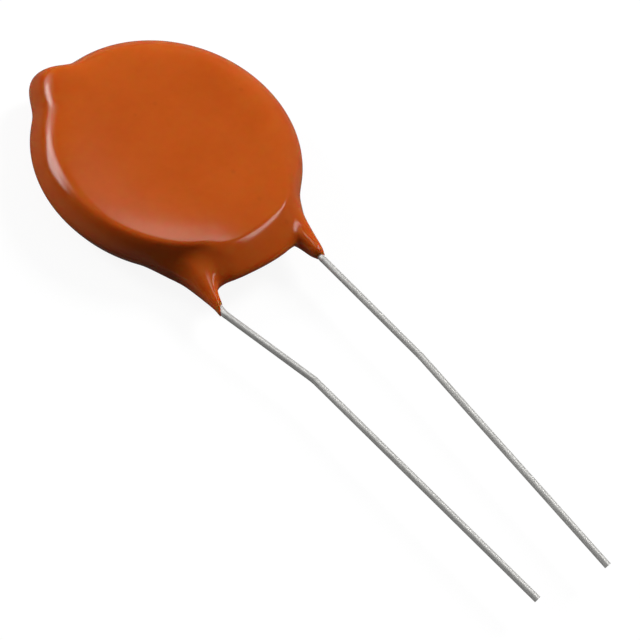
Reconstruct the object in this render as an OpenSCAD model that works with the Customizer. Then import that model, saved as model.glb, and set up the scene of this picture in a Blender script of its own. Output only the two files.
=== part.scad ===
// Ceramic disc capacitor: a silvered ceramic disc with two soldered wire leads, dipped in epoxy.
// It lies on one face. The origin is the centre of that face, Z is the axis of the disc,
// and the leads leave towards -Y. Lengths are in millimetres.

/* [Ceramic disc] */
// Diameter of the ceramic disc
ceramic_d = 20.4; // [16:0.2:26]
// Thickness of the ceramic disc
ceramic_t = 2.4; // [1:0.1:4]
// Bare ring of ceramic left around each electrode
bare_margin = 1; // [0.4:0.1:2.5]
// Thickness of each silver electrode
electrode_t = 0.03; // [0.02:0.01:0.1]

/* [Wire leads] */
// Diameter of the wire
wire_d = 0.6; // [0.5:0.05:0.8]
// Distance between the two wires where they leave the coating
lead_pitch = 10.8; // [7.5:0.1:14]
// Length of wire that lies on its electrode
seat_len = 8; // [4:0.5:10]
// Radius of the double bend that brings a wire to mid-thickness, on its centre line
crimp_r = 1; // [0.6:0.1:1.6]
// Straight stretch in the middle of the double bend
crimp_run = 0.2; // [0.1:0.1:1]
// Room between the rim of the ceramic and the start of the double bend
crimp_gap = 0.15; // [0.05:0.05:0.5]
// Radius of the bends outside the coating, on the centre line
bend_r = 1.5; // [1:0.1:6]
// Sideways bend of the left wire where it leaves the coating, in degrees
left_lean = 18.2; // [0:0.1:25]
// Straight stretch of the left wire before it bends back
left_run = 8.9; // [4:0.1:16]
// Bend back of the left wire, in degrees
left_return = 9.5; // [0:0.1:15]
// Straight end stretch of the left wire
left_tail = 24.7; // [10:0.1:40]
// Sideways bend of the right wire where it leaves the coating, in degrees
right_lean = 7.5; // [0:0.1:25]
// Straight stretch of the right wire before it bends back
right_run = 11.9; // [4:0.1:16]
// Bend back of the right wire, in degrees
right_return = 4.1; // [0:0.1:15]
// Straight end stretch of the right wire
right_tail = 22.8; // [10:0.1:40]

/* [Solder] */
// Film of solder between a wire and its electrode
solder_film = 0.05; // [0.02:0.01:0.15]
// Diameter of the solder mound on the electrode
solder_d = 4.4; // [2:0.1:6]
// Height of the solder mound above the wire that it holds
solder_h = 0.1; // [0.04:0.02:0.3]

/* [Coating] */
// Thickness of the coating around the rim of the ceramic
rim_cover = 1.8; // [0.6:0.1:2.5]
// Thickness of the coating over a seated wire
wire_cover = 0.37; // [0.2:0.02:1]
// Width of the rounded edge, seen from above
edge_w = 1.5; // [0.8:0.1:3]
// Squareness of the rounded edge: near 1 it is a bevel, 2 is an ellipse
edge_power = 1.3; // [1.2:0.1:4]

/* [Drip nub] */
// Direction of the nub seen from above, in degrees from +X
nub_dir = 117.8; // [60:0.1:150]
// How far the nub stands out from the rim
nub_reach = 1.6; // [0.4:0.1:3]
// Width of the nub where it grows out of the rim
nub_w = 6.2; // [3:0.1:10]

/* [Skirts] */
// How far each skirt reaches beyond the rim
skirt_reach = 3.3; // [1.5:0.1:6]
// Diameter of a skirt at its root, inside the rim
skirt_root_d = 2.2; // [1.8:0.1:3.2]
// Radius of the hollow flank of a skirt
flank_r = 6.5; // [5:0.5:20]
// Lean of each skirt towards the other one, in degrees, so that they are closer at their roots
skirt_lean = 4.5; // [0:0.5:8]
// Wall of a skirt at its tip
skirt_wall = 0.12; // [0.04:0.01:0.4]
// How far the web between the skirts stands out from the rim
web_reach = 1.4; // [0:0.1:2.5]
// How much further the web stands out where it meets a skirt
foot_reach = 1.6; // [0:0.1:2.5]
// Length along the rim over which the web dies away across the left skirt
left_fade = 8.4; // [1.5:0.1:12]
// Length along the rim over which the web dies away across the right skirt
right_fade = 4.2; // [1.5:0.1:12]

/* [Hidden] */
$fn = 96;

// Columns around the coating and rows over its edge
columns = 144;
rows = 16;
// How sharply the web thins towards the two faces
web_power = 3;
// How steeply the web rises towards a skirt, and how fast it falls away beyond it
foot_power = 3;
fade_power = 2.4;
// Every cut runs past its body by this much
overrun = 1;
// A wire is this much fatter in radius where it is bent, and the fat stretch laps over the straight ones
bend_swell = 0.01;
bend_lap = 0.04;

wire_r = wire_d / 2;
ceramic_r = ceramic_d / 2;
electrode_r = ceramic_r - bare_margin;
coat_r = ceramic_r + rim_cover;
face_cover = electrode_t + solder_film + wire_d + wire_cover;
coat_t = ceramic_t + 2 * face_cover;
mid = coat_t / 2;
lead_x = lead_pitch / 2;
// Angle from -Y to the place where a wire crosses the rim
lead_turn = asin(lead_x / coat_r);
// Height of a seated wire's centre line above mid-thickness
seat_rise = ceramic_t / 2 + electrode_t + solder_film + wire_r;
// The double bend starts just outside the ceramic
crimp_y = sqrt(pow(ceramic_r, 2) - pow(lead_x - wire_r, 2)) + crimp_gap;
// The two bends turn the wire by equal angles, so that together they drop it by the seat's rise
crimp_turn = atan2(2 * crimp_r, crimp_run) + asin((seat_rise - 2 * crimp_r) / norm([2 * crimp_r, crimp_run]));
crimp_len = 2 * crimp_r * sin(crimp_turn) + crimp_run * cos(crimp_turn);
skirt_y = coat_r + skirt_reach;
skirt_len = skirt_y - crimp_y;
skirt_tip_r = wire_r + skirt_wall;
skirt_root_r = skirt_root_d / 2;
// Height of the solder mound above the electrode, and the radius of the ball that it is a cap of
mound_h = solder_film + wire_d + solder_h;
mound_ball_r = (pow(solder_d / 2, 2) + pow(mound_h, 2)) / (2 * mound_h);

// Angle between two directions
function turn(a, b) = abs((a - b + 540) % 360 - 180);

// Falls smoothly from 1 at x = 0 to 0 at x = 1
function fade(x) = x <= 0 ? 1 : x >= 1 ? 0 : (1 + cos(180 * x)) / 2;

// Angle that an arc of the rim spans, seen from the axis
function span(arc) = arc / coat_r * 180 / PI;

function rim(a) = coat_r + nub_reach * fade(turn(a, nub_dir) / span(nub_w / 2));

// Web beyond the rim: it rises to the inner side of the two skirts and dies away across them
function web(a) =
    let (
        t = turn(a, -90),
        full = lead_turn - span(skirt_root_r),
        beyond = cos(a) < 0 ? left_fade : right_fade
    )
    t < full
        ? web_reach + foot_reach * pow(t / full, foot_power)
        : (web_reach + foot_reach) * pow(max(0, 1 - (t - full) / span(beyond)), fade_power);

// Point of the coating in direction a, at slope s from -90 (lower face) to 90 (upper face)
function skin(a, s) =
    let (
        out = pow(cos(s), 2 / edge_power),
        up = sign(s) * pow(abs(sin(s)), 2 / edge_power),
        r = rim(a) - edge_w * (1 - out) + web(a) * pow(cos(s), web_power)
    )
    [r * cos(a), r * sin(a), mid + mid * up];

// Dipped body without its skirts
module dipped_disc() {
    points = [
        for (j = [0 : rows], i = [0 : columns - 1])
            skin(360 * i / columns, 180 * j / rows - 90)
    ];
    side = [
        for (j = [0 : rows - 1], i = [0 : columns - 1])
            let (a = j * columns, b = a + columns, k = (i + 1) % columns)
            each [[a + i, b + i, b + k], [a + i, b + k, a + k]]
    ];
    lower_face = [[for (i = [0 : columns - 1]) i]];
    upper_face = [[for (i = [columns - 1 : -1 : 0]) rows * columns + i]];
    polyhedron(points, concat(lower_face, side, upper_face));
}

// Skirt of coating that runs down a wire and thins to the tip
module skirt() {
    rotate_extrude()
        difference() {
            square([skirt_root_r, skirt_len]);
            translate([skirt_tip_r + flank_r, skirt_len]) circle(r = flank_r, $fn = 360);
        }
}

// Straight stretch of wire along Z, with the rest of the wire at its end
module straight(length) {
    cylinder(r = wire_r, h = length);
    translate([0, 0, length]) children();
}

// Bend of the wire from Z towards the direction dir, with the rest of the wire at its end
module bend(angle, radius, dir) {
    lap = bend_lap / radius * 180 / PI;
    rotate([0, 0, dir]) {
        rotate([90, 0, 180])
            translate([-radius, 0, 0])
                rotate([0, 0, -lap])
                    rotate_extrude(angle = angle + 2 * lap)
                        translate([radius, 0])
                            circle(r = wire_r + bend_swell);
        translate([radius, 0, 0])
            rotate([0, angle, 0])
                translate([-radius, 0, 0])
                    rotate([0, 0, -dir])
                        children();
    }
}

// Part of a wire inside the coating: face is 1 on the upper electrode and -1 on the lower one
module lead_root(x, face, extra = 0) {
    translate([x, seat_len - crimp_y, mid + face * seat_rise])
        rotate([90, 0, 0])
            straight(seat_len)
                bend(crimp_turn, crimp_r, -90 * face)
                    straight(crimp_run)
                        bend(crimp_turn, crimp_r, 90 * face)
                            straight(skirt_y - crimp_y - crimp_len + extra)
                                children();
}

module lead(x, face, lean, run, back, tail) {
    lead_root(x, face, 3 * bend_lap)
        bend(lean, bend_r, 0)
            straight(run)
                bend(back, bend_r, 180)
                    straight(tail);
}

module electrode() {
    cylinder(r = electrode_r, h = electrode_t);
}

// Mound of solder around the inner end of a wire
module solder(x, face) {
    difference() {
        translate([x, seat_len - solder_d / 2 - crimp_y, mid])
            mirror([0, 0, face < 0 ? 1 : 0])
                translate([0, 0, ceramic_t / 2 + electrode_t])
                    rotate_extrude()
                        intersection() {
                            translate([0, mound_h - mound_ball_r]) circle(r = mound_ball_r, $fn = 360);
                            square([solder_d / 2, mound_h]);
                        }
        lead_root(x, face);
    }
}

module ceramic_disc() {
    color("tan")
        translate([0, 0, mid - ceramic_t / 2])
            cylinder(r = ceramic_r, h = ceramic_t);
}

module upper_electrode() {
    color("silver")
        translate([0, 0, mid + ceramic_t / 2])
            electrode();
}

module lower_electrode() {
    color("silver")
        translate([0, 0, mid - ceramic_t / 2 - electrode_t])
            electrode();
}

module left_lead() {
    color("gainsboro")
        lead(-lead_x, -1, left_lean, left_run, left_return, left_tail);
}

module right_lead() {
    color("gainsboro")
        lead(lead_x, 1, right_lean, right_run, right_return, right_tail);
}

module upper_solder() {
    color("lightgray")
        solder(lead_x, 1);
}

module lower_solder() {
    color("lightgray")
        solder(-lead_x, -1);
}

module coating() {
    color("chocolate")
        difference() {
            union() {
                dipped_disc();
                for (side = [-1, 1])
                    translate([side * lead_x, -skirt_y, mid])
                        rotate([90, 0, side * skirt_lean])
                            translate([0, 0, -skirt_len])
                                skirt();
            }
            ceramic_disc();
            upper_electrode();
            lower_electrode();
            upper_solder();
            lower_solder();
            lead_root(lead_x, 1, overrun);
            lead_root(-lead_x, -1, overrun);
        }
}

coating();
ceramic_disc();
upper_electrode();
lower_electrode();
left_lead();
right_lead();
upper_solder();
lower_solder();
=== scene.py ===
# %% [markdown]
# A ceramic disc capacitor, dressed around its solids. The part is a silvered ceramic disc with two
# soldered wires, dipped in epoxy, and it lies loose on one face. The solids give every place and
# size; this lesson gives the dipped skin its flowing shape, and every piece its finish.

# %% Load the solids
import math

import bmesh
import bpy
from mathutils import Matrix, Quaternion, Vector


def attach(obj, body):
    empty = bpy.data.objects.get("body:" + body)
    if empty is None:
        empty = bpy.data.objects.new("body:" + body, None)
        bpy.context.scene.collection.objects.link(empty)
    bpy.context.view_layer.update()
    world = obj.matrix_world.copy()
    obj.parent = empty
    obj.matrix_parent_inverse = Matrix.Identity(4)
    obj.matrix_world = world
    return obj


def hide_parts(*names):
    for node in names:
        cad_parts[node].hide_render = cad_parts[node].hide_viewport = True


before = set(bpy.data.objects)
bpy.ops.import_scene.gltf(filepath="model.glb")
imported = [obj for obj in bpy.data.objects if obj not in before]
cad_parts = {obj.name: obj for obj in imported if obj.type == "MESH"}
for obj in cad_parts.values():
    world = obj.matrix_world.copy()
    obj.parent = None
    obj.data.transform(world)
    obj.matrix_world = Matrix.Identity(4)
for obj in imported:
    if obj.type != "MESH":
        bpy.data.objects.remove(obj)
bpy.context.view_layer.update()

MM = 0.001

# %% [markdown]
# The camera looks down on the disc from the side of the leads, and is turned about its own axis, so
# that the leads run towards the lower right of the picture. A camera can be aimed with a Track To
# constraint, but then it can't roll. Here the axis is written as a direction, and the roll is a
# second turn about that axis, so both can be read off the picture one after the other.

# %% Camera
def direction(azimuth, elevation):
    """Unit vector from degrees: azimuth 0 is -Y and 90 is +X, and elevation 90 is straight up."""
    a, e = math.radians(azimuth), math.radians(elevation)
    return Vector((math.sin(a) * math.cos(e), -math.cos(a) * math.cos(e), math.sin(e)))


lens = bpy.data.cameras.new("camera")
lens.lens = 76.9
lens.sensor_width = 36
lens.clip_start, lens.clip_end = 0.005, 20
camera = bpy.data.objects.new("camera", lens)
bpy.context.scene.collection.objects.link(camera)
camera.rotation_mode = "QUATERNION"
camera.location = Vector((-54.27, -50.56, 97.80)) * MM
camera.rotation_quaternion = (
    direction(-61.43, 56.43).to_track_quat("Z", "Y") @ Quaternion((0, 0, 1), math.radians(27.38))
)
bpy.context.scene.camera = camera
bpy.context.scene.view_settings.view_transform = "Standard"
print("camera", round(camera.location.length / MM), "mm from the origin, lens", lens.lens, "mm")

# %% [markdown]
# A glossy skin shows its surroundings, so the light is half of the finish. The studio is a dim room
# with a few soft windows. Area lamps could do this, but each lamp shines evenly up to a hard edge. A
# window painted on the sky can be sharp on one side and fade out on the other, as the light of a
# softbox does. One node group makes such a window, and each window is one use of it.

# %% A window on the sky
def link(tree, source, target):
    tree.links.new(source, target)


def node(tree, kind, **settings):
    made = tree.nodes.new(kind)
    for key, value in settings.items():
        setattr(made, key, value)
    return made


def maths(tree, operation, a, b=None):
    """A Math node on sockets or plain numbers; gives its output."""
    made = node(tree, "ShaderNodeMath", operation=operation)
    for socket, value in zip(made.inputs, (a, b)):
        if isinstance(value, bpy.types.NodeSocket):
            link(tree, value, socket)
        elif value is not None:
            socket.default_value = value
    return made.outputs[0]


def dotted(tree, a, b):
    made = node(tree, "ShaderNodeVectorMath", operation="DOT_PRODUCT")
    link(tree, a, made.inputs[0])
    link(tree, b, made.inputs[1])
    return made.outputs["Value"]


def smooth_step(tree, value, start, end):
    """Rises smoothly from 0 at start to 1 at end."""
    made = node(tree, "ShaderNodeMapRange", interpolation_type="SMOOTHSTEP")
    for name, given in (("Value", value), ("From Min", start), ("From Max", end)):
        if isinstance(given, bpy.types.NodeSocket):
            link(tree, given, made.inputs[name])
        else:
            made.inputs[name].default_value = given
    return made.outputs["Result"]


def new_group(name, inputs, outputs):
    tree = bpy.data.node_groups.new(name, "ShaderNodeTree")
    for label, kind in inputs:
        tree.interface.new_socket(label, in_out="INPUT", socket_type=kind)
    for label, kind in outputs:
        tree.interface.new_socket(label, in_out="OUTPUT", socket_type=kind)
    return tree, tree.nodes.new("NodeGroupInput").outputs, tree.nodes.new("NodeGroupOutput").inputs


window_group, given, gives = new_group(
    "sky window",
    [("Direction", "NodeSocketVector"), ("Facing", "NodeSocketVector"), ("Across", "NodeSocketVector"),
     ("Up", "NodeSocketVector"), ("Half Width", "NodeSocketFloat"), ("Side Fade", "NodeSocketFloat"),
     ("Low", "NodeSocketFloat"), ("Low Fade", "NodeSocketFloat"), ("High", "NodeSocketFloat"),
     ("High Fade", "NodeSocketFloat")],
    [("Mask", "NodeSocketFloat")],
)
ahead = dotted(window_group, given["Direction"], given["Facing"])
near = maths(window_group, "MAXIMUM", ahead, 0.05)
across = maths(window_group, "DIVIDE", dotted(window_group, given["Direction"], given["Across"]), near)
up = maths(window_group, "DIVIDE", dotted(window_group, given["Direction"], given["Up"]), near)
sides = smooth_step(
    window_group,
    maths(window_group, "SUBTRACT", given["Half Width"], maths(window_group, "ABSOLUTE", across)),
    maths(window_group, "MULTIPLY", given["Side Fade"], -1.0),
    given["Side Fade"],
)
low = smooth_step(
    window_group, maths(window_group, "SUBTRACT", up, given["Low"]), 0.0, given["Low Fade"]
)
high = smooth_step(
    window_group, maths(window_group, "SUBTRACT", given["High"], up), 0.0, given["High Fade"]
)
lit = maths(window_group, "MULTIPLY", maths(window_group, "MULTIPLY", sides, low), high)
in_front = maths(window_group, "GREATER_THAN", ahead, 0.06)
link(window_group, maths(window_group, "MULTIPLY", lit, in_front), gives["Mask"])
print("window group has", len(window_group.nodes), "nodes")

# %% [markdown]
# The windows stand where the highlights on the real part say that they stood. Each has a place on a
# chart of the sky: so many degrees east (+X) and north (+Y) of the point straight overhead. The
# brightest stands behind on the left and gives the streak on the shoulder; the weaker one beside it
# carries that streak up to the nub. The one near the top gives the pale crescent along the near edge
# of the face, and the strip on the right the line above the web. The camera itself sees plain white
# instead of this sky, so that the background is white from every side.

# %% The room and its windows
world = bpy.data.worlds.new("studio")
bpy.context.scene.world = world
world.use_nodes = True
sky = world.node_tree
background = sky.nodes["Background"]
background.inputs["Color"].default_value = (1, 1, 1, 1)
looking = node(sky, "ShaderNodeTexCoord").outputs["Generated"]
height = node(sky, "ShaderNodeSeparateXYZ")
link(sky, looking, height.inputs[0])

DIM, HORIZON_GLOW = 0.006, 0.015
glow = maths(sky, "MULTIPLY", smooth_step(sky, height.outputs["Z"], 0.42, 0.12), HORIZON_GLOW)
light = maths(sky, "ADD", glow, DIM)


def on_chart(east, north):
    """The direction at a place on the chart of the sky."""
    away = max(math.hypot(east, north), 1e-6)
    level = math.sin(math.radians(away)) / away
    return Vector((east * level, north * level, math.cos(math.radians(away))))


# East and north of the middle; the way its upper edge points on the chart, clockwise from north; half
# its width and the fade of its sides; reach and fade of its lower, then its upper edge; brightness.
windows = {
    "behind left": (-30, 44, 15, 23.5, 8, 18, 14, 15, 8, 6.6),
    "behind": (-5, 52, 15, 13, 8, 12, 6, 12, 6, 2.2),
    "near the top": (16.5, 6.5, 0, 7.2, 4.5, 14.5, 6, 18, 13, 2.3),
    "ceiling": (17, 22, 0, 8, 1.2, 9, 4, 9, 5, 0.35),
    "right strip": (40, -12, 47, 5, 3, 21, 10, 13, 4, 4.5),
    "right wall": (75, 8, 90, 40, 8, 24, 8, 20, 6, 0.05),
}
for name, (east, north, pointing, half, side, low, low_fade, high, high_fade, bright) in windows.items():
    facing = on_chart(east, north)
    aim = math.radians(pointing)
    rising = on_chart(east + math.sin(aim) * 0.1, north + math.cos(aim) * 0.1) - facing
    rising = (rising - facing * rising.dot(facing)).normalized()
    use = node(sky, "ShaderNodeGroup", node_tree=window_group, name=name)
    link(sky, looking, use.inputs["Direction"])
    for label, value in (("Facing", facing), ("Across", rising.cross(facing)), ("Up", rising)):
        use.inputs[label].default_value = value
    for label, value in (("Half Width", half), ("Side Fade", side), ("Low", -low), ("Low Fade", low_fade),
                         ("High", high), ("High Fade", high_fade)):
        use.inputs[label].default_value = math.tan(math.radians(value))
    light = maths(sky, "ADD", light, maths(sky, "MULTIPLY", use.outputs["Mask"], bright))
backdrop = node(sky, "ShaderNodeMix", data_type="FLOAT")
link(sky, node(sky, "ShaderNodeLightPath").outputs["Is Camera Ray"], backdrop.inputs["Factor"])
link(sky, light, backdrop.inputs[2])
backdrop.inputs[3].default_value = 1.0
link(sky, backdrop.outputs[0], background.inputs["Strength"])
print("studio with", len(windows), "windows")

# %% [markdown]
# A mirror line needs little light, and the colour below the gloss needs much, so the two are lit
# apart, as a photographer sets reflectors for the one and diffusers for the other. The sky is seen by
# glossy rays alone. Soft lamps light what is matt: a strong one on the right, weaker ones behind on
# the left and overhead, and one below, which shows the underside. Their own mirror images aren't
# wanted on the face, so each has its ray visibility switched off for gloss.

# %% Lamps
world.cycles_visibility.diffuse = False
# East and north on the chart, size in metres and power in watts; each stands a metre away.
lamps = {
    "right": (55, 10, 0.4, 11.3),
    "behind left": (-31, 58, 0.3, 7.0),
    "overhead": (0, 0, 2.0, 4.3),
    "below": (180, 0, 1.0, 3.0),
}
for name, (east, north, size, watts) in lamps.items():
    light_data = bpy.data.lights.new(name + " lamp", "AREA")
    light_data.shape = "DISK"
    light_data.size = size
    light_data.energy = watts
    lamp = bpy.data.objects.new(name + " lamp", light_data)
    bpy.context.scene.collection.objects.link(lamp)
    lamp.location = on_chart(east, north)
    lamp.rotation_mode = "QUATERNION"
    lamp.rotation_quaternion = lamp.location.to_track_quat("Z", "Y")
    lamp.visible_glossy = False
    lamp.visible_camera = False
    print(name, "lamp:", watts, "W at", [round(v, 2) for v in lamp.location], "m")

# %% [markdown]
# The part lies on a plain white table. A white that comes only from lamps would need so much light
# that the skin bleaches. So most of the white is a glow for the camera, of which mirrors see a little,
# and a smaller share is a plain matt surface, which takes the light of the lamps and keeps the shadow.
# Seen from below, and for the lamp below, the table is clear.

# %% Table
table = bmesh.new()
bmesh.ops.create_grid(table, x_segments=1, y_segments=1, size=2.0)
floor_mesh = bpy.data.meshes.new("table")
table.to_mesh(floor_mesh)
table.free()
floor = bpy.data.objects.new("table", floor_mesh)
bpy.context.scene.collection.objects.link(floor)

white = bpy.data.materials.new("white table")
white.use_nodes = True
tree = white.node_tree
tree.nodes.clear()
ray = node(tree, "ShaderNodeLightPath").outputs
mirrored = maths(tree, "MAXIMUM", ray["Is Glossy Ray"], ray["Is Transmission Ray"])
SEEN, IN_MIRRORS, MATT = 0.91, 0.03, 0.1
to_camera = maths(tree, "MULTIPLY", ray["Is Camera Ray"], SEEN)
seen = maths(tree, "MAXIMUM", to_camera, maths(tree, "MULTIPLY", mirrored, IN_MIRRORS))
shine = node(tree, "ShaderNodeEmission")
link(tree, seen, shine.inputs["Strength"])
matt = node(tree, "ShaderNodeBsdfDiffuse")
matt.inputs["Color"].default_value = (MATT, MATT, MATT, 1)
both = node(tree, "ShaderNodeAddShader")
link(tree, shine.outputs[0], both.inputs[0])
link(tree, matt.outputs[0], both.inputs[1])
sided = node(tree, "ShaderNodeMixShader")
from_below = node(tree, "ShaderNodeNewGeometry").outputs["Backfacing"]
link(tree, maths(tree, "MAXIMUM", from_below, ray["Is Shadow Ray"]), sided.inputs["Fac"])
link(tree, both.outputs[0], sided.inputs[1])
link(tree, node(tree, "ShaderNodeBsdfTransparent").outputs[0], sided.inputs[2])
link(tree, sided.outputs[0], node(tree, "ShaderNodeOutputMaterial").inputs["Surface"])
floor_mesh.materials.append(white)
print("table", [round(v, 1) for v in floor.dimensions], "m")

# %% [markdown]
# The coating is one skin of epoxy that ran, dripped and set. Its main form is a coin: a nearly flat
# face, a tight shoulder and a wall that slopes out to the middle of the edge. A coin could be a
# bevelled cylinder, but a bevel has one slope, and the set epoxy turns slowly near the middle of the
# face and fast at the shoulder. So half of the section is drawn as a line of points, close together
# where it turns fast, and spun once round the axis. The epoxy set tight at the near left edge and
# rounder at the far right, so a second, softer line is blended in by direction. The nub and the skirts
# grow from the rows of points later.

# %% Coin of epoxy
COAT_R, HALF = 12.0 * MM, 2.25 * MM
COLUMNS = 96
# Radius, and height above the middle of the edge, in mm.
SECTION = (
    (0, 2.30), (3, 2.30), (5.4, 2.30), (7, 2.297), (8, 2.283), (8.75, 2.262), (9.35, 2.232), (9.85, 2.19),
    (10.25, 2.15), (10.52, 2.11), (10.71, 2.06), (10.85, 2.0), (11.0, 1.88), (11.13, 1.715),
    (11.27, 1.515), (11.47, 1.15), (11.69, 0.745), (11.85, 0.393), (12, 0),
)
# The same rows where the epoxy set rounder.
SOFT = (
    (0, 2.30), (3, 2.30), (5.2, 2.30), (6.7, 2.299), (7.6, 2.295), (8.3, 2.286), (8.85, 2.267),
    (9.35, 2.218), (9.75, 2.132), (10.1, 2.027), (10.4, 1.913), (10.65, 1.794), (10.9, 1.654),
    (11.12, 1.504), (11.32, 1.344), (11.55, 1.111), (11.76, 0.83), (11.91, 0.48), (12, 0),
)


def half_section(rows):
    """Points of one section in the plane of X and Z, from the top to the bottom."""
    upper = [Vector((r * MM, 0, HALF + z * MM)) for r, z in rows]
    return upper + [Vector((r * MM, 0, HALF * (1 - z / rows[0][1]))) for r, z in reversed(rows[:-1])]


skin = bmesh.new()
tight, soft = half_section(SECTION), half_section(SOFT)
points = [skin.verts.new(p) for p in tight]
line = [skin.edges.new(pair) for pair in zip(points, points[1:])]
bmesh.ops.spin(skin, geom=points + line, cent=(0, 0, 0), axis=(0, 0, 1), angle=math.tau,
               steps=COLUMNS, use_merge=True, dvec=(0, 0, 0))
bmesh.ops.remove_doubles(skin, verts=skin.verts, dist=0.01 * MM)
bmesh.ops.recalc_face_normals(skin, faces=skin.faces)


def part_way(value, start, end):
    """How far a value has come from start to end, kept between 0 and 1."""
    return min(1.0, max(0.0, (value - start) / (end - start)))


def eased(share):
    return share * share * (3 - 2 * share)


def softness(angle):
    """Share of the round section in a direction: none at the near left edge, all at the far right."""
    degrees = math.degrees(angle) % 360
    stops = ((0, 1.0), (80, 1.0), (120, 0.45), (165, 0.4), (210, 0.0), (297, 0.0), (324, 1.0), (360, 1.0))
    for (a, low), (b, high) in zip(stops, stops[1:]):
        if degrees <= b:
            return low + (high - low) * eased(part_way(degrees, a, b))


for point in skin.verts:
    radius = point.co.xy.length
    row = min(range(len(tight)), key=lambda i: abs(tight[i].x - radius) + abs(tight[i].z - point.co.z))
    if 0 < row < len(tight) - 1:
        angle = math.atan2(point.co.y, point.co.x)
        move = (soft[row] - tight[row]) * softness(angle)
        turned = Vector((move.x * math.cos(angle), move.x * math.sin(angle), move.z))
        bmesh.ops.translate(skin, verts=[point], vec=turned)
print("coin:", len(skin.verts), "points,", len(skin.faces), "faces")

# %% [markdown]
# Where the last drop hung after dipping, the rim keeps a nub. Between the wires the epoxy was drawn
# down into a web, which reaches further at each wire, most at the left one, and dies away beyond it.
# Both could be modelled as extra blobs and joined on, but then a seam shows. Here the points of the
# coin are pushed outwards, by an amount that depends on their direction and height, so the skin stays
# one sheet. The web's wall is almost straight from the shoulder to its crest. Between the wires the
# crest lies high and the wall is a gentle slope; left of the left wire the epoxy sagged, so the crest
# lies low and the wall is steep. A lower crest stands out less, so that the outline seen from above
# at an angle stays.

# %% Nub and web
NUB_DIR, NUB_REACH = math.radians(117.8), 1.6 * MM
NUB_NEAR, NUB_FAR = 4.1 * MM, 3.1 * MM
WEB_REACH, LEFT_FOOT, RIGHT_FOOT = 1.4 * MM, 2.2 * MM, 1.6 * MM
LEFT_FADE, RIGHT_FADE = 8.4 * MM, 5.6 * MM
LEAD_X, ROOT_R = 5.4 * MM, 1.1 * MM
# Heights above the middle of the edge: where the web starts and ends, and how far its crest moves.
SHOULDER, SAG_SHOULDER, RIGHT_RISE, FOOT = 2.45 * MM, 1.8 * MM, 0.5 * MM, -2.3 * MM
CREST_RISE, CREST_FALL = 0.6 * MM, 1.4 * MM
# Degrees from the middle of the web, to the right, between which each of these changes.
SAG_TURN, SHOULDER_TURN, RISE_TURN = (-16, -24), (-30, -6), (18, 30)
# A wall of power 1 is straight. A web that reaches less than the faint reach fades into the edge.
WALL_POWER, SAG_POWER, FAINT_REACH = 1.15, 0.5, 0.6 * MM
EDGE_SLOPE, LOOK_DOWN = 0.45, 0.776
# Radii between which the nub's push begins and is full.
STILL_R, MOVED_R = 5 * MM, 9.6 * MM


def turn(a, b):
    return abs((a - b + math.pi) % math.tau - math.pi)


def nub_push(angle):
    share = turn(angle, NUB_DIR) * COAT_R / (NUB_NEAR if math.sin(angle - NUB_DIR) > 0 else NUB_FAR)
    return NUB_REACH * (1 + math.cos(math.pi * share)) / 2 if share < 1 else 0.0


def web_push(angle, height):
    """How far the web stands out in a direction, at a height above the middle of the edge."""
    away = turn(angle, -math.pi / 2)
    full = math.asin(LEAD_X / COAT_R) - ROOT_R / COAT_R
    left = math.cos(angle) < 0
    foot = LEFT_FOOT if left else RIGHT_FOOT
    if away < full:
        reach = WEB_REACH + foot * (away / full) ** 3
    else:
        beyond = (LEFT_FADE if left else RIGHT_FADE) / COAT_R
        reach = (WEB_REACH + foot) * max(0.0, 1 - (away - full) / beyond) ** 2.4
    degrees = math.degrees(away) * (-1 if left else 1)
    sag = part_way(degrees, *SAG_TURN)
    crest = CREST_RISE * max(0.0, 1 - (away / full) ** 3) - CREST_FALL * sag
    edge = COAT_R - EDGE_SLOPE * abs(crest)
    stand = (COAT_R + reach + LOOK_DOWN * crest - edge) * min(1.0, reach / FAINT_REACH)
    top = SAG_SHOULDER + (SHOULDER - SAG_SHOULDER) * eased(part_way(degrees, *SHOULDER_TURN))
    top += RIGHT_RISE * part_way(degrees, *RISE_TURN)
    share = (height - crest) / (top - crest) if height > crest else (crest - height) / (crest - FOOT)
    return max(0.0, stand) * max(0.0, 1 - share) ** (WALL_POWER + SAG_POWER * sag)


for point in skin.verts:
    radius = point.co.xy.length
    if radius < STILL_R:
        continue
    outward = Vector((point.co.x, point.co.y, 0)) / radius
    angle = math.atan2(outward.y, outward.x)
    push = nub_push(angle) * part_way(radius, STILL_R, MOVED_R) ** 2 + web_push(angle, point.co.z - HALF)
    bmesh.ops.translate(skin, verts=[point], vec=outward * push)
ys = [v.co.y / MM for v in skin.verts]
print("nub reaches", round(max(ys), 2), "mm, web", round(min(ys), 2))

# %% [markdown]
# Each wire pulled a skirt of epoxy down with it. A skirt could be a cone joined on with a Boolean,
# but the corner between cone and rim would be sharp, and the real one is a smooth hollow. So a patch
# of the rim is opened, and its border is extruded ring by ring down the wire, each ring smaller than
# the last. At the tip the ring turns in to the wire and runs back up it, so that the skin ends in a
# thin lip. The lip isn't square to the wire: the last of the epoxy crept further on one side. The
# left skirt also hung down before it set, so its rings are drawn out below the wire.

# %% Skirts
TIP_Y, TIP_R, FLANK_R = -15.3 * MM, 0.42 * MM, 6.5 * MM
BORE_R = 0.318 * MM
SKIRT_LEAN = math.tan(math.radians(4.5))
PATCH = (math.radians(18.0), math.radians(30.0), 0.97 * MM)


def flank(up_wire, bulge):
    """Radius of a skirt at a distance up the wire from its tip."""
    hollow = TIP_R + FLANK_R - math.sqrt(FLANK_R ** 2 - up_wire ** 2)
    return hollow + bulge * math.sin(math.pi * min(1.0, up_wire / (2.6 * MM)))


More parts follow.
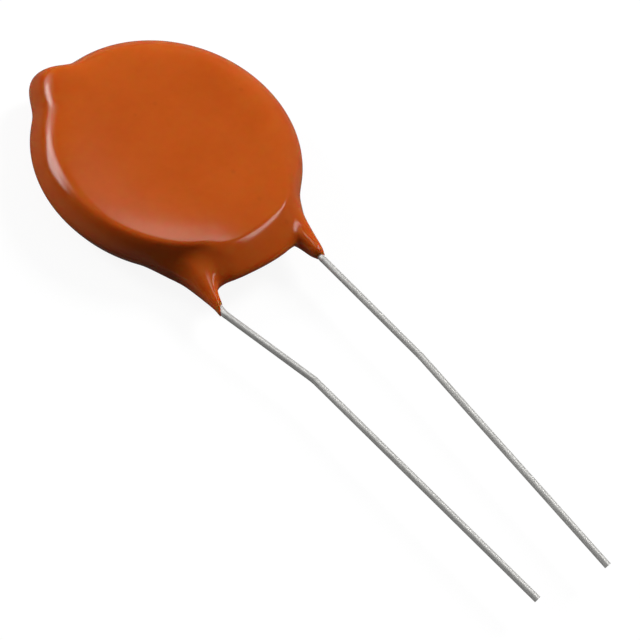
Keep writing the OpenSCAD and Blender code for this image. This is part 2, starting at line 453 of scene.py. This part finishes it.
def draw_skirt(side, creep, bulge, root, droop):
    """Opens the rim at one wire and draws its border down to the tip.

    Creep is how far the lip slants, bulge how much fuller than a plain hollow the skirt is, root how
    far up the wire from the tip its first ring lies, and droop how much deeper it hangs, as a share.
    """
    low_turn, high_turn, half_height = PATCH
    patch = []
    for face in skin.faces:
        middle = face.calc_center_median()
        away = math.atan2(side * middle.x, -middle.y)
        on_rim = abs(middle.z - HALF) < half_height and middle.xy.length > COAT_R - 1.2 * MM
        if low_turn < away < high_turn and on_rim:
            patch.append(face)
    bmesh.ops.delete(skin, geom=patch, context="FACES")
    border = [e for e in skin.edges if e.is_boundary]
    start = sum((v.co for e in border for v in e.verts), Vector()) / (2 * len(border))

    def ring(border, up_wire, radius, share=1.0, slant=0.0):
        """Extrudes the border and spreads the new points evenly on a circle round the wire."""
        made = bmesh.ops.extrude_edge_only(skin, edges=border)["geom"]
        new_points = [g for g in made if isinstance(g, bmesh.types.BMVert)]
        middle = Vector((side * (LEAD_X - up_wire * SKIRT_LEAN), TIP_Y + up_wire, HALF))
        hub = start if share < 1 else middle
        sunk = droop * part_way(up_wire, 0.5 * MM, 0.5 * (MM + root)) if radius > TIP_R else 0.0

        def bearing(v):
            return math.atan2(v.co.z - hub.z, side * (v.co.x - hub.x))

        in_order = sorted(new_points, key=bearing)
        step = math.tau / len(in_order)
        first = sum(bearing(v) - step * n for n, v in enumerate(in_order)) / len(in_order)
        for n, v in enumerate(in_order):
            around = first + step * n
            out, lift = math.cos(around), math.sin(around)
            lift *= 1 + sunk if lift < 0 else 1 - 0.65 * sunk * max(0.0, out)
            target = middle + radius * Vector((side * out, 0, lift))
            target.y -= slant * math.cos(around + 0.5)
            bmesh.ops.translate(skin, verts=[v], vec=(target - v.co) * share)
        return [g for g in made if isinstance(g, bmesh.types.BMEdge)]

    border = ring(border, root, flank(root, bulge) * 1.1, share=0.6)
    for up_wire in (root * 0.76, root * 0.5):
        border = ring(border, up_wire, flank(up_wire, bulge), slant=creep * 0.3)
    border = ring(border, root * 0.25, flank(root * 0.25, bulge), slant=creep * 0.7)
    border = ring(border, 0.12 * MM, TIP_R, slant=creep)
    border = ring(border, 0.0, TIP_R * 0.9, slant=creep)
    border = ring(border, 0.06 * MM, BORE_R, slant=creep)
    border = ring(border, 1.4 * MM, BORE_R)
    bmesh.ops.edgeloop_fill(skin, edges=border)
    return len(patch)


opened = draw_skirt(-1, creep=0.42 * MM, bulge=0.02 * MM, root=1.7 * MM, droop=1.2)
print("left skirt opened", opened, "faces of the rim")
opened = draw_skirt(1, creep=0.10 * MM, bulge=0.34 * MM, root=2.2 * MM, droop=0)
print("right skirt opened", opened, "faces of the rim")

# %% [markdown]
# The cage is coarse, and the rings of a skirt meet the rim at an angle. Smoothing the points round
# each root lets the hollow flow into the web. A Subdivision Surface then makes the skin as smooth as
# set epoxy, because its limit is a continuous curve and a mirror line on it has no kinks.

# %% Smooth skin
ROOTS = [Vector((side * (LEAD_X - 0.3 * MM), -13.0 * MM, HALF)) for side in (-1, 1)]


def near_root(v, reach):
    return min((v.co - root).length for root in ROOTS) < reach


for reach, times in ((3.0 * MM, 2), (2.3 * MM, 3)):
    roots = [v for v in skin.verts if near_root(v, reach) and v.co.y > TIP_Y + 1.0 * MM and
             v.co.xy.length > COAT_R - 1.5 * MM]
    for step in range(times):
        bmesh.ops.smooth_vert(skin, verts=roots, factor=0.5,
                              use_axis_x=True, use_axis_y=True, use_axis_z=True)
bmesh.ops.recalc_face_normals(skin, faces=skin.faces)
for face in skin.faces:
    face.smooth = True
skin_mesh = bpy.data.meshes.new("dipped_coating")
skin.to_mesh(skin_mesh)
open_edges = sum(e.is_boundary for e in skin.edges)
skin.free()
coating = bpy.data.objects.new("dipped_coating", skin_mesh)
bpy.context.scene.collection.objects.link(coating)
finer = coating.modifiers.new("smooth skin", "SUBSURF")
finer.levels = finer.render_levels = 2
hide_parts("coating")
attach(coating, "root")
print("skin:", len(skin_mesh.polygons), "faces before subdivision,", open_edges, "open edges")

# %% [markdown]
# Several finishes here have fine grain: the epoxy has a faint mottle, the tin has drawn streaks, and
# the ceramic and solder are speckled. One group gives that grain, from two sizes of noise, and each
# material uses it with its own scale and stretch. Object coordinates keep it fixed to the piece.

# %% Grain, shared by the finishes
grain_group, given, gives = new_group(
    "grain",
    [("Vector", "NodeSocketVector"), ("Size", "NodeSocketFloat"), ("Fine Share", "NodeSocketFloat")],
    [("Grain", "NodeSocketFloat")],
)
coarse = node(grain_group, "ShaderNodeTexNoise")
coarse.inputs["Detail"].default_value = 3
fine = node(grain_group, "ShaderNodeTexNoise")
fine.inputs["Detail"].default_value = 5
per_metre = maths(grain_group, "DIVIDE", 1.0, given["Size"])
for noise, factor in ((coarse, 1.0), (fine, 6.3)):
    link(grain_group, given["Vector"], noise.inputs["Vector"])
    link(grain_group, maths(grain_group, "MULTIPLY", per_metre, factor), noise.inputs["Scale"])
blend = node(grain_group, "ShaderNodeMix", data_type="FLOAT")
link(grain_group, given["Fine Share"], blend.inputs["Factor"])
link(grain_group, coarse.outputs["Fac"], blend.inputs[2])
link(grain_group, fine.outputs["Fac"], blend.inputs[3])
link(grain_group, blend.outputs[0], gives["Grain"])


def new_finish(name):
    """A material with its Principled shader, and the object coordinates that its patterns read."""
    material = bpy.data.materials.new(name)
    material.use_nodes = True
    tree = material.node_tree
    place = node(tree, "ShaderNodeTexCoord").outputs["Object"]
    return material, tree, tree.nodes["Principled BSDF"], place


def grain(tree, vector, size, fine_share):
    use = node(tree, "ShaderNodeGroup", node_tree=grain_group)
    link(tree, vector, use.inputs["Vector"])
    use.inputs["Size"].default_value = size
    use.inputs["Fine Share"].default_value = fine_share
    return use.outputs["Grain"]


def ramp(tree, value, *stops):
    made = node(tree, "ShaderNodeValToRGB")
    link(tree, value, made.inputs["Fac"])
    stop_list = made.color_ramp.elements
    while len(stop_list) < len(stops):
        stop_list.new(0.5)
    for element, (position, colour) in zip(stop_list, stops):
        element.position = position
        element.color = (*colour, 1) if len(colour) == 3 else colour
    return made.outputs["Color"]


def between(tree, value, low, high):
    """Maps a grain of 0.3 to 0.7 to a range of plain values."""
    made = node(tree, "ShaderNodeMapRange")
    link(tree, value, made.inputs["Value"])
    for label, number in (("From Min", 0.3), ("From Max", 0.7), ("To Min", low), ("To Max", high)):
        made.inputs[label].default_value = number
    return made.outputs["Result"]


def bump(tree, value, depth, strength, shader):
    made = node(tree, "ShaderNodeBump")
    made.inputs["Strength"].default_value = strength
    made.inputs["Distance"].default_value = depth
    link(tree, value, made.inputs["Height"])
    link(tree, made.outputs["Normal"], shader.inputs["Normal"])


print("grain group has", len(grain_group.nodes), "nodes")

# %% [markdown]
# The epoxy is an opaque orange-brown, filled with fine pigment, and glossy as it set. Red light goes a
# little further in it than green or blue, so shaded flanks look redder than the face: subsurface
# scattering with a longer red radius does that. The colour wanders by a few hundredths, a few grains
# of filler show as faint darker spots, and the surface swells very slightly, which keeps mirror lines
# from being too clean.

# %% Epoxy
epoxy, tree, shader, place = new_finish("epoxy coating")
mottle = grain(tree, place, 5 * MM, 0.35)
tint = ramp(tree, mottle, (0.36, (0.475, 0.085, 0.0085)), (0.64, (0.515, 0.099, 0.0112)))
spots = node(tree, "ShaderNodeTexVoronoi")
spots.inputs["Scale"].default_value = 1 / (3.4 * MM)
spots.inputs["Randomness"].default_value = 1
link(tree, place, spots.inputs["Vector"])
speck = smooth_step(tree, spots.outputs["Distance"], 0.10, 0.03)
stained = node(tree, "ShaderNodeMix", data_type="RGBA", blend_type="MULTIPLY")
link(tree, maths(tree, "MULTIPLY", speck, 0.16), stained.inputs["Factor"])
link(tree, tint, stained.inputs[6])
stained.inputs[7].default_value = (0.45, 0.4, 0.4, 1)
link(tree, stained.outputs[2], shader.inputs["Base Color"])
link(tree, between(tree, grain(tree, place, 1.6 * MM, 0.4), 0.09, 0.13), shader.inputs["Roughness"])
bump(tree, grain(tree, place, 3.5 * MM, 0.08), 0.012 * MM, 0.5, shader)
shader.inputs["IOR"].default_value = 1.48
shader.inputs["Specular IOR Level"].default_value = 0.5
shader.inputs["Subsurface Weight"].default_value = 0.9
shader.inputs["Subsurface Radius"].default_value = (1.4, 0.22, 0.06)
shader.inputs["Subsurface Scale"].default_value = 1.0 * MM
skin_mesh.materials.append(epoxy)
print("epoxy finish with", len(tree.nodes), "nodes")

# %% [markdown]
# The leads are copper wire with a bright tin plating. Drawing the wire leaves streaks along it, and
# handling leaves a few dark nicks. Stretching the grain along the wires gives the streaks without a
# picture; a second, coarse grain, of which only the peaks count, gives the nicks.

# %% Tinned wire
tinned, tree, shader, place = new_finish("tinned wire")
stretched = node(tree, "ShaderNodeMapping")
stretched.inputs["Scale"].default_value = (1.0, 0.06, 1.0)
link(tree, place, stretched.inputs["Vector"])
streaks = grain(tree, stretched.outputs["Vector"], 0.25 * MM, 0.5)
nicks = smooth_step(tree, grain(tree, place, 1.3 * MM, 0.45), 0.62, 0.70)
bright = ramp(tree, streaks, (0.30, (0.74, 0.73, 0.70)), (0.70, (0.93, 0.92, 0.89)))
worn = node(tree, "ShaderNodeMix", data_type="RGBA")
link(tree, maths(tree, "MULTIPLY", nicks, 0.75), worn.inputs["Factor"])
link(tree, bright, worn.inputs[6])
worn.inputs[7].default_value = (0.13, 0.12, 0.10, 1)
link(tree, worn.outputs[2], shader.inputs["Base Color"])
shader.inputs["Metallic"].default_value = 0.62
link(tree, between(tree, streaks, 0.32, 0.46), shader.inputs["Roughness"])
bump(tree, streaks, 0.01 * MM, 0.35, shader)
print("tinned finish with", len(tree.nodes), "nodes")

# %% [markdown]
# Inside the skin, unseen unless it is cut open, are the pale fired ceramic, the thin silver layers
# on it and the solder that holds the wires. They are finished too, because the pieces may be used
# apart: ceramic is matt with fine pores, fired silver is satin, and solder sets in dull waves.

# %% Ceramic, silver and solder
ceramic, tree, shader, place = new_finish("fired ceramic")
pores = grain(tree, place, 0.6 * MM, 0.6)
fired = ramp(tree, pores, (0.3, (0.44, 0.34, 0.24)), (0.7, (0.56, 0.46, 0.34)))
link(tree, fired, shader.inputs["Base Color"])
link(tree, between(tree, pores, 0.62, 0.8), shader.inputs["Roughness"])
bump(tree, pores, 0.02 * MM, 0.4, shader)

silver, tree, shader, place = new_finish("fired silver")
brushed = grain(tree, place, 0.4 * MM, 0.5)
pale = ramp(tree, brushed, (0.3, (0.80, 0.78, 0.73)), (0.7, (0.90, 0.88, 0.84)))
link(tree, pale, shader.inputs["Base Color"])
shader.inputs["Metallic"].default_value = 1
link(tree, between(tree, brushed, 0.38, 0.52), shader.inputs["Roughness"])

solder, tree, shader, place = new_finish("soft solder")
waves = grain(tree, place, 1.2 * MM, 0.3)
dull = ramp(tree, waves, (0.3, (0.52, 0.52, 0.52)), (0.7, (0.68, 0.68, 0.67)))
link(tree, dull, shader.inputs["Base Color"])
shader.inputs["Metallic"].default_value = 1
link(tree, between(tree, waves, 0.3, 0.48), shader.inputs["Roughness"])
bump(tree, waves, 0.03 * MM, 0.4, shader)

finishes = {
    "left_lead": tinned, "right_lead": tinned, "ceramic_disc": ceramic,
    "upper_electrode": silver, "lower_electrode": silver, "upper_solder": solder, "lower_solder": solder,
}
for name, finish in finishes.items():
    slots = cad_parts[name].data.materials
    slots.clear()
    slots.append(finish)
print("finished solids:", sorted(finishes))
